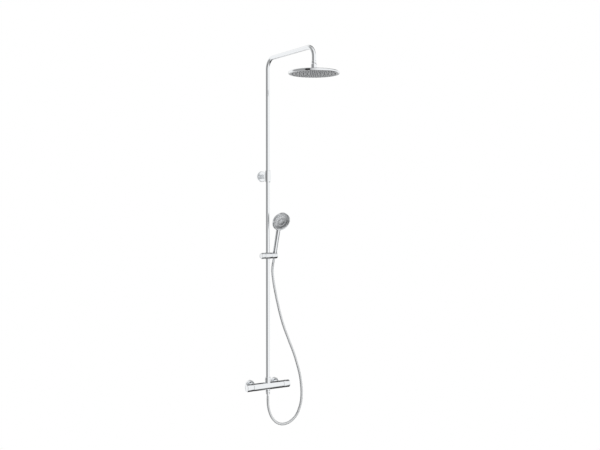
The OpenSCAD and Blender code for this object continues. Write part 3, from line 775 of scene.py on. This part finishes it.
class SHOWER_OT_rain_head(bpy.types.Operator):
    """Domed shell, rim and spray plate of the rain head"""
    bl_idname = "shower.rain_head"
    bl_label = "Rain head"

    def execute(self, context):
        place = (0, HEAD_Y, HEAD_Z)
        thick = 14 * MM
        bell = BALL.z - HEAD_Z - 9 * MM
        shell = turned("rain_head_dome", rounded([
            *mm((-11, 3, 0), (-11, 0.6, 0.5), (0, 0.4, 8), radius=HEAD_R),
            *mm((0, -2.6, 2.4), (-4, 0, 3), (-45, 3.4, 20), radius=HEAD_R, height=thick),
            *mm((30, 6.4, 16), (20, 9, 4), height=thick),
            *mm((15, -2, 3), (15, 0, 0.4), (13.3, 0, 0), (13.3, -4, 0), height=bell),
            *mm((10, 3, 0), height=thick),
            *mm((-20, -4, 0), (-5, -5, 0), radius=HEAD_R, height=thick),
            *mm((-5, 3.4, 0), radius=HEAD_R)], steps=6), sides=160, hollow=True)
        done(stand(shell, place), "chromed_plastic", "rain_head", "rain_head_shell")
        face_r = HEAD_R - 11.3 * MM
        # Share of the plate's radius and height in millimetres, from its rim to its middle
        rings = ((0.985, 1.2), (0.97, 1.0), (0.965, 1.4), (0.62, 1.2), (0.615, 1.5), (0.3, 1.3),
                 (0.295, 1.6), (0.04, 1.5))
        plate = turned("rain_spray_plate", rounded([
            *mm((2, 3, 0)), *mm((0, 3, 0), radius=face_r),
            *[(face_r * share, height * MM, 0.5 * MM) for share, height in rings]]), sides=160)
        done(stand(plate, place), "spray_plate", "rain_head", "rain_face_plate")
        return {"FINISHED"}


def nozzle_places(rings, pitch):
    """One nozzle in the middle, then rings of six more each, every other ring turned."""
    places = [(0.0, 0.0)]
    for k in range(1, rings + 1):
        for i in range(6 * k):
            angle = 2 * pi * (i + (k % 2) / 2) / (6 * k)
            places.append((pitch * k * cos(angle), pitch * k * sin(angle)))
    return places


def nozzle_field(name, places, outline, lift=lambda radius: 0):
    """One turned nozzle, copied to every place and joined into one piece."""
    first = turned(name, outline, sides=12)
    nozzles = [first, *[copied(first, f"{name}_{i}") for i in range(1, len(places))]]
    for nozzle, (x, y) in zip(nozzles, places):
        nozzle.location = (x, y, lift(hypot(x, y)))
    deselect_all()
    for nozzle in nozzles:
        nozzle.select_set(True)
    bpy.context.view_layer.objects.active = first
    bpy.ops.object.join()
    apply_place()
    return first


class SHOWER_OT_rain_nozzles(bpy.types.Operator):
    """Silicone nozzles of the rain head"""
    bl_idname = "shower.rain_nozzles"
    bl_label = "Rain nozzles"

    def execute(self, context):
        rings = 6
        pitch = (HEAD_R - 19 * MM) / rings
        jets = nozzle_field("rain_jets", nozzle_places(rings, pitch), mm(
            (3, 2.2), (3, 0.7), (2.6, 0.4), (1.9, 0.3), (1.4, -1.3), (1.1, -1.5), (0.6, -1.4),
            (0.5, 0.2)))
        stand(jets, (0, HEAD_Y, HEAD_Z))
        done(jets, "grey_silicone", "rain_head", "rain_nozzles")
        return {"FINISHED"}


# ---- slider and handset ----


def slider_end(name, start, end, edge, dish):
    """Round end of the slider, along its own axis, with a dish in its end face. Its edge's
    rounding and the dish's depth are in millimetres."""
    return turned(name, rounded([
        *mm((12, 0, 0), height=start), *mm((0, 0, edge), radius=SLIDER_R, height=start),
        *mm((0, 0, 1.6), radius=SLIDER_R, height=end),
        *mm((12.4, 0, 0.4), (12, -dish, 0.4), (2, -dish, 0), height=end)]), sides=128)


class SHOWER_OT_slider(bpy.types.Operator):
    """Slider body on the riser, its guide bush, lock knob and tilting holder"""
    bl_idname = "shower.slider"
    bl_label = "Slider"

    def execute(self, context):
        start, end = low("slider_body").x + 0.05 * MM, high("slider_body").x - 4 * MM
        core, edge = 12 * MM, 0.5 * MM
        body = turned("slider_barrel", rounded([
            (core, start, 0), (SLIDER_R, start, edge), (SLIDER_R, end, edge), (core, end, 0)]),
            sides=128)
        stand(body, ON_SLIDER, ALONG_X)
        cut(body, stand(turned("bore", mm((12.7, -30), (12.7, 30))), ON_SLIDER))
        done(body, "chromed_plastic", "slider", "slider_body", angle=30)
        rim = span("slider_bush").z / 2
        bush_r = PIPE_R + 0.1 * MM
        bush = turned("slider_guide", rounded([
            (bush_r, -rim, 0), *mm((13.3, 0, 0.3), (13.3, 1, 0.2), (12.6, 1, 0), height=-rim),
            *mm((12.6, -1, 0), (13.3, -1, 0.2), (13.3, 0, 0.3), height=rim),
            (bush_r, rim, 0)]), hollow=True)
        done(stand(bush, ON_SLIDER), "grey_plastic", "slider_carriage", "slider_bush")
        knob = slider_end("clamp_knob", 19 * MM, -low("lock_knob").x, 0.4, 0.6)
        stand(knob, ON_SLIDER, ALONG_MINUS_X)
        done(knob, "chromed_plastic", "lock_knob", "lock_knob", angle=30)
        start, end = low("handset_holder").x, high("handset_holder").x
        holder = slider_end("handset_cradle", start, end, 0.5, 0.5)
        stand(holder, ON_SLIDER, ALONG_X)
        cut(holder, stand(turned("socket", mm((8.9, -22), (11.95, 22))), SOCKET, UP_GRIP))
        done(holder, "chromed_plastic", "holder", "handset_holder", angle=30)
        return {"FINISHED"}


class SHOWER_OT_handset(bpy.types.Operator):
    """Handset: grip and head as one smooth moulding"""
    bl_idname = "shower.handset"
    bl_label = "Handset"

    def execute(self, context):
        head = turned("head", rounded([
            *mm((5, 2, 0), (32, 2.6, 14)),
            *mm((0, 8, 7), (0, 22, 1.2), (-3, 22, 0.4), (-3.6, 13, 0.4), radius=HANDSET_R),
            *mm((4, 13, 0))], steps=8), sides=128)
        stand(head, SPRAY_AT, OUT_SPRAY)
        shell = turned("handset_shell", rounded(mm(
            (8, 16.5, 0), (11.3, 16.5, 0.5), (12, 23, 6), (11.6, 84, 30), (12.4, 140, 16),
            (11, 166, 6), (6, 176, 4), (2, 178, 0)), steps=6), sides=64)
        stand(shell, SOCKET, UP_GRIP)
        cut(shell, head, "UNION")
        shaped(shell, "REMESH", mode="VOXEL", voxel_size=1.1 * MM)
        shaped(shell, "SMOOTH", factor=0.5, iterations=6)
        done(shell, "chromed_plastic", "handset", "handset_body", angle=60)
        return {"FINISHED"}


class SHOWER_OT_spray_face(bpy.types.Operator):
    """Spray plate, nozzles and selector ring of the handset"""
    bl_idname = "shower.spray_face"
    bl_label = "Spray face"

    def execute(self, context):
        top, plate_r, crown = 23.2 * MM, 42.8 * MM, 2.6 * MM

        def height(radius):
            return top + crown * (1 - (radius / plate_r) ** 2)
        # Radius and depth under the crown of the plate's steps, in millimetres
        steps = ((40, 0.6), (39.4, 1.4), (35, 1.4), (31, 1.4), (30.4, 0.9), (26, 0.9), (22, 0.9),
                 (21.4, 1.5), (17, 1.5), (13.4, 1.5), (12.8, 0.4), (8, 0.3), (4, 0.2), (2, 0.2))
        plate = turned("handset_spray_plate", rounded([
            *mm((40, 13, 0)), *mm((0, 13, 0), radius=plate_r),
            *mm((0, -1, 0.8), radius=plate_r, height=top),
            *[(r * MM, height(r * MM) - depth * MM, 0.3 * MM) for r, depth in steps]]))
        done(stand(plate, SPRAY_AT, OUT_SPRAY), "spray_plate", "handset", "handset_face")
        jets = nozzle_field("handset_jets", nozzle_places(4, 9 * MM)[1:], mm(
            (2.2, -1.8), (2.2, -0.9), (1.5, -0.7), (1.1, 0.5), (0.8, 0.6), (0.5, 0.5),
            (0.4, -0.6), height=top), lift=lambda radius: height(radius) - top)
        done(stand(jets, SPRAY_AT, OUT_SPRAY), "grey_silicone", "handset", "handset_nozzles")
        ring_r = HANDSET_R - 4 * MM
        ring = turned("spray_selector", rounded([
            *mm((43.3, 14, 0)), *mm((0, 14, 0), (0, 24, 1.2), radius=ring_r),
            *mm((45, 24.2, 1), (43.3, 22.6, 0.4))], steps=5), hollow=True)
        done(stand(ring, SPRAY_AT, OUT_SPRAY), "chromed_plastic", "selector", "selector_ring")
        deselect_all()
        bpy.ops.mesh.primitive_cube_add(size=1, location=(-ring_r - 2 * MM, 0, 23.5 * MM))
        lever = bpy.context.object
        lever.name = lever.data.name = "selector_lever"
        lever.scale = (9 * MM, 10 * MM, 2.2 * MM)
        apply_place()
        shaped(lever, "BEVEL", width=0.8 * MM, segments=3)
        done(stand(lever, SPRAY_AT, OUT_SPRAY), "chromed_plastic", "selector", "selector_ring")
        return {"FINISHED"}


class SHOWER_OT_hose_fittings(bpy.types.Operator):
    """Conical nut in the holder, ferrules, and the nut under the bar"""
    bl_idname = "shower.hose_fittings"
    bl_label = "Hose fittings"

    def execute(self, context):
        cone = turned("conical_nut", rounded(mm(
            (7.2, -15, 0), (9.1, -15, 0.5), (11.2, 16.1, 0.4), (7.2, 16.1, 0))), hollow=True)
        done(stand(cone, SOCKET, UP_GRIP), "chrome", "cone_nut", "hose_cone_nut")
        ferrule = turned("top_ferrule", rounded(mm(
            (5, -36, 0), (7, -36, 0.5), (7, -20, 0), (7, 1.4, 0), (5, 1.4, 0))))
        done(stand(ferrule, SOCKET, UP_GRIP), "chrome", "handset", "hose_top_ferrule")
        foot, head = low("hose_outlet_nut").z, high("hose_outlet_nut").z
        nut = turned("outlet_nut", rounded([
            *mm((7.2, 0, 0), (10.9, 0, 0.6), (11.3, 9, 0.4), (12.3, 10, 0.4), height=foot),
            *mm((12.3, -1, 0.5), (11.6, 0, 0), (8.7, 0, 0), height=head),
            *mm((8.7, 9, 0), (7.2, 9, 0), height=foot)]), hollow=True)
        done(stand(nut, ON_AXIS), "chrome", "column", "hose_outlet_nut")
        foot, head = low("hose_outlet_ferrule").z, high("hose_outlet_ferrule").z
        sleeve = turned("outlet_ferrule", rounded([
            *mm((5, 0, 0), (7, 0, 0.5), height=foot), *mm((7, 0, 0), (5, 0, 0), height=head)]))
        done(stand(sleeve, ON_AXIS), "chrome", "column", "hose_outlet_ferrule")
        return {"FINISHED"}


class SHOWER_OT_inner_parts(bpy.types.Operator):
    """Gives every CAD part that stays its own material"""
    bl_idname = "shower.inner_parts"
    bl_label = "Inner parts"

    def execute(self, context):
        slots = {s["node"]: s["material_slot"] for s in frame["record"]["subparts"]}
        for name, node in frame["nodes"].items():
            node.data.materials.clear()
            node.data.materials.append(coat(slots[name]))
        return {"FINISHED"}


# ---- stage ----

# In front of the wall and to the left, a little over half the column's height
CAMERA_PLACE = (-2.2092, -4.0728, 0.9936)
CAMERA_TILT, CAMERA_TURN = radians(89.144), radians(-31.067)
CAMERA_LENS_MM, CAMERA_SENSOR_MM = 51.31, 36
CAMERA_SHIFT_Y = -0.02
FLOOR_MIDDLE_Y = -0.45
LIT_POINT = Vector((0, -0.2, 0.9))


def soft_light(name, place, diameter, power):
    """Round lamp that shines at the middle of the shower, and isn't seen in its chrome."""
    data = bpy.data.lights.new(name, "AREA")
    data.shape = "DISK"
    data.size = diameter
    data.energy = power
    light = bpy.data.objects.new(name, data)
    light.location = place
    light.visible_glossy = False
    light.rotation_euler = (LIT_POINT - Vector(place)).to_track_quat("-Z", "Y").to_euler()
    bpy.context.scene.collection.objects.link(light)


def studio_world(scene):
    """White room that the metal mirrors. In front of the object it is greyer to the left. A dim
    patch lies straight behind the object and a dark one above it, another lies low down beside
    it, and a narrow upright opening at the front left is dark too."""
    world = bpy.data.worlds.new("studio")
    scene.world = world
    world.use_nodes = True
    tree = world.node_tree
    tree.nodes.clear()
    way = add_node(tree, "ShaderNodeTexCoord").outputs["Generated"]

    def math(operation, a, b):
        return add_node(tree, "ShaderNodeMath", {"operation": operation}, {0: a, 1: b}).outputs[0]

    def without(a):
        return math("SUBTRACT", 1, a)

    def along(direction, start, end):
        """Rises from 0 to 1 as the way's part along direction goes from start to end."""
        part = add_node(tree, "ShaderNodeVectorMath", {"operation": "DOT_PRODUCT"},
                        {0: way, 1: direction}).outputs["Value"]
        return add_node(tree, "ShaderNodeMapRange", {"interpolation_type": "SMOOTHSTEP"}, {
            "Value": part, "From Min": start, "From Max": end}).outputs["Result"]

    ahead, left = (0.515, 0.857, 0), (-0.857, 0.515, 0)
    up, down = (0, 0, 1), (0, 0, -1)
    opening, opening_left, opening_right = (-0.866, -0.5, 0), (-0.5, 0.866, 0), (0.5, -0.866, 0)
    room_level, side_grey, band_grey, behind_dark, darkest = 1.12, 0.46, 0.24, 0.58, 0.97

    front = without(along(ahead, 0.2, 0.5))
    side = math("MULTIPLY", front, along(left, -0.35, 0.3))
    band = math("MULTIPLY", front, along(left, 0.25, 0.6))
    level = math("SUBTRACT", room_level, math("MULTIPLY", side, side_grey))
    level = math("SUBTRACT", level, math("MULTIPLY", band, band_grey))
    behind = math("MULTIPLY", along(ahead, 0.93, 0.99), behind_dark)
    not_left = without(along(left, 0.0, 0.35))
    ceiling = math("MULTIPLY", along(up, 0.25, 0.5), along(ahead, 0.15, 0.5))
    ceiling = math("MULTIPLY", ceiling, not_left)
    foot = math("MULTIPLY", along(down, 0.2, 0.5), along(ahead, -0.34, 0.0))
    foot = math("MULTIPLY", foot, not_left)
    beside = math("MAXIMUM", along(opening_right, 0.15, 0.25), along(opening_left, 0.15, 0.25))
    gap = math("MULTIPLY", without(beside), along(opening, 0.5, 0.65))
    dark = math("MAXIMUM", math("MAXIMUM", behind, gap), math("MAXIMUM", ceiling, foot))
    level = math("MULTIPLY", level, without(math("MULTIPLY", dark, darkest)))
    seen = add_node(tree, "ShaderNodeLightPath").outputs["Is Camera Ray"]
    strength = add_node(tree, "ShaderNodeMix", {"data_type": "FLOAT"}, {
        "Factor": seen, "A": level, "B": 1.0}).outputs["Result"]
    backdrop = add_node(tree, "ShaderNodeBackground", None, {
        "Color": (1, 1, 1, 1), "Strength": strength})
    add_node(tree, "ShaderNodeOutputWorld", None, {"Surface": backdrop.outputs["Background"]})


class SHOWER_OT_stage(bpy.types.Operator):
    """Camera, pale floor, studio surroundings and lights"""
    bl_idname = "shower.stage"
    bl_label = "Stage"

    def execute(self, context):
        scene = context.scene
        sizes = scene.shower_sizes
        camera_data = bpy.data.cameras.new("camera")
        camera_data.sensor_width = CAMERA_SENSOR_MM
        camera_data.lens = CAMERA_LENS_MM
        camera_data.shift_y = CAMERA_SHIFT_Y
        camera_data.clip_end = 50
        camera = bpy.data.objects.new("camera", camera_data)
        camera.location = CAMERA_PLACE
        camera.rotation_euler = (CAMERA_TILT, 0, CAMERA_TURN)
        scene.collection.objects.link(camera)
        scene.camera = camera
        deselect_all()
        bpy.ops.mesh.primitive_circle_add(
            vertices=96, radius=sizes.floor_radius, fill_type="NGON",
            location=(0, FLOOR_MIDDLE_Y, sizes.floor_z))
        floor = bpy.context.object
        floor.name = "floor"
        apply_place()
        floor.data.materials.append(bpy.data.materials["painted_board"])
        floor.visible_glossy = False
        scene.view_settings.view_transform = "Standard"
        studio_world(scene)
        soft_light("key", place=(-2.4, -3.2, 3.4), diameter=2.2, power=60)
        soft_light("fill", place=(2.6, -2.6, 1.6), diameter=1.8, power=25)
        return {"FINISHED"}


# ---- sizes, colours, panel ----


def length_field(name, description, default, least=0.0, most=10.0):
    return bpy.props.FloatProperty(
        name=name, description=description, default=default, min=least, max=most,
        unit="LENGTH", subtype="DISTANCE")


def colour_field(name, description, hex_colour):
    return bpy.props.FloatVectorProperty(
        name=name, description=description, default=linear(hex_colour), size=3, min=0, max=1,
        subtype="COLOR")


class ShowerSizes(bpy.types.PropertyGroup):
    """Sizes that can be changed without changing the frame"""
    edge_round: length_field(
        "Edge round", "Rounding of the bar's turned edges", 0.0005, 0.0001, 0.0015)
    bend_radius: length_field(
        "Bend radius", "Centreline radius of the arm's bends", 0.055, 0.05, 0.07)
    hose_pitch: length_field("Hose pitch", "Width of one turn of the hose's strip", 0.0045)
    hose_bend: length_field("Hose bend", "Length of hose that bends across one joint", 0.05)
    floor_radius: length_field("Floor radius", "Radius of the round floor", 1.6)
    floor_z: length_field(
        "Floor height", "Height of the floor, from the mixer bar's axis", -0.95, least=-2)


class ShowerColours(bpy.types.PropertyGroup):
    """Base colours of the finishes"""
    chrome: colour_field("Chrome", "Polished chrome on brass", "#E4E6E8")
    chromed_abs: colour_field("Chromed ABS", "Polished chrome on ABS", "#E0E2E4")
    spray_dark: colour_field("Spray plate, dark", "Dark patches of the satin plate", "#BCBEC0")
    spray_light: colour_field("Spray plate, light", "Light patches of the satin plate", "#D2D4D6")
    hose_dark: colour_field("Hose, dark", "Dark patches of the hose's strip", "#34363A")
    hose_light: colour_field("Hose, light", "Light patches of the hose's strip", "#44464A")
    steel: colour_field("Steel", "Stainless screws and plates", "#B4B4B2")
    brass: colour_field("Brass", "Turned brass nipples", "#C9A45C")
    rubber: colour_field("Rubber", "EPDM rings and washers", "#1E1E1F")
    silicone: colour_field("Silicone", "Soft nozzles", "#8C8E91")
    acetal: colour_field("Acetal", "White plastic rings", "#E2E1DC")
    nylon: colour_field("Nylon", "Grey plastic guides", "#9B9DA0")
    red_abs: colour_field("Red ABS", "Core of the stop button", "#A51C1C")
    floor: colour_field("Floor", "Pale painted floor", "#F4F4F2")


PIECES = [
    SHOWER_OT_stage, SHOWER_OT_hose, SHOWER_OT_mixer_body, SHOWER_OT_wall_inlets,
    SHOWER_OT_handles, SHOWER_OT_riser, SHOWER_OT_wall_bracket, SHOWER_OT_arm,
    SHOWER_OT_ball_joint, SHOWER_OT_rain_head, SHOWER_OT_rain_nozzles, SHOWER_OT_slider,
    SHOWER_OT_handset, SHOWER_OT_spray_face, SHOWER_OT_hose_fittings, SHOWER_OT_inner_parts,
]


class SHOWER_PT_pieces(bpy.types.Panel):
    """Sizes, colours and one button for each group of pieces"""
    bl_idname = "SHOWER_PT_pieces"
    bl_label = "Shower column"
    bl_space_type = "VIEW_3D"
    bl_region_type = "UI"
    bl_category = "Shower column"

    def draw(self, context):
        for group in (context.scene.shower_sizes, context.scene.shower_colours):
            box = self.layout.box()
            for field in group.bl_rna.properties.keys():
                if field not in ("rna_type", "name"):
                    box.prop(group, field)
        for piece in PIECES:
            self.layout.operator(piece.bl_idname)


CLASSES = [ShowerSizes, ShowerColours, *PIECES, SHOWER_PT_pieces]


def register():
    for cls in CLASSES:
        bpy.utils.register_class(cls)
    bpy.types.Scene.shower_sizes = bpy.props.PointerProperty(type=ShowerSizes)
    bpy.types.Scene.shower_colours = bpy.props.PointerProperty(type=ShowerColours)


def unregister():
    del bpy.types.Scene.shower_colours
    del bpy.types.Scene.shower_sizes
    for cls in reversed(CLASSES):
        bpy.utils.unregister_class(cls)


def main():
    register()
    make_materials(bpy.context.scene.shower_colours)
    for piece in PIECES:
        group, action = piece.bl_idname.split(".")
        getattr(getattr(bpy.ops, group), action)()
    deselect_all()


if __name__ == "__main__":
    main()
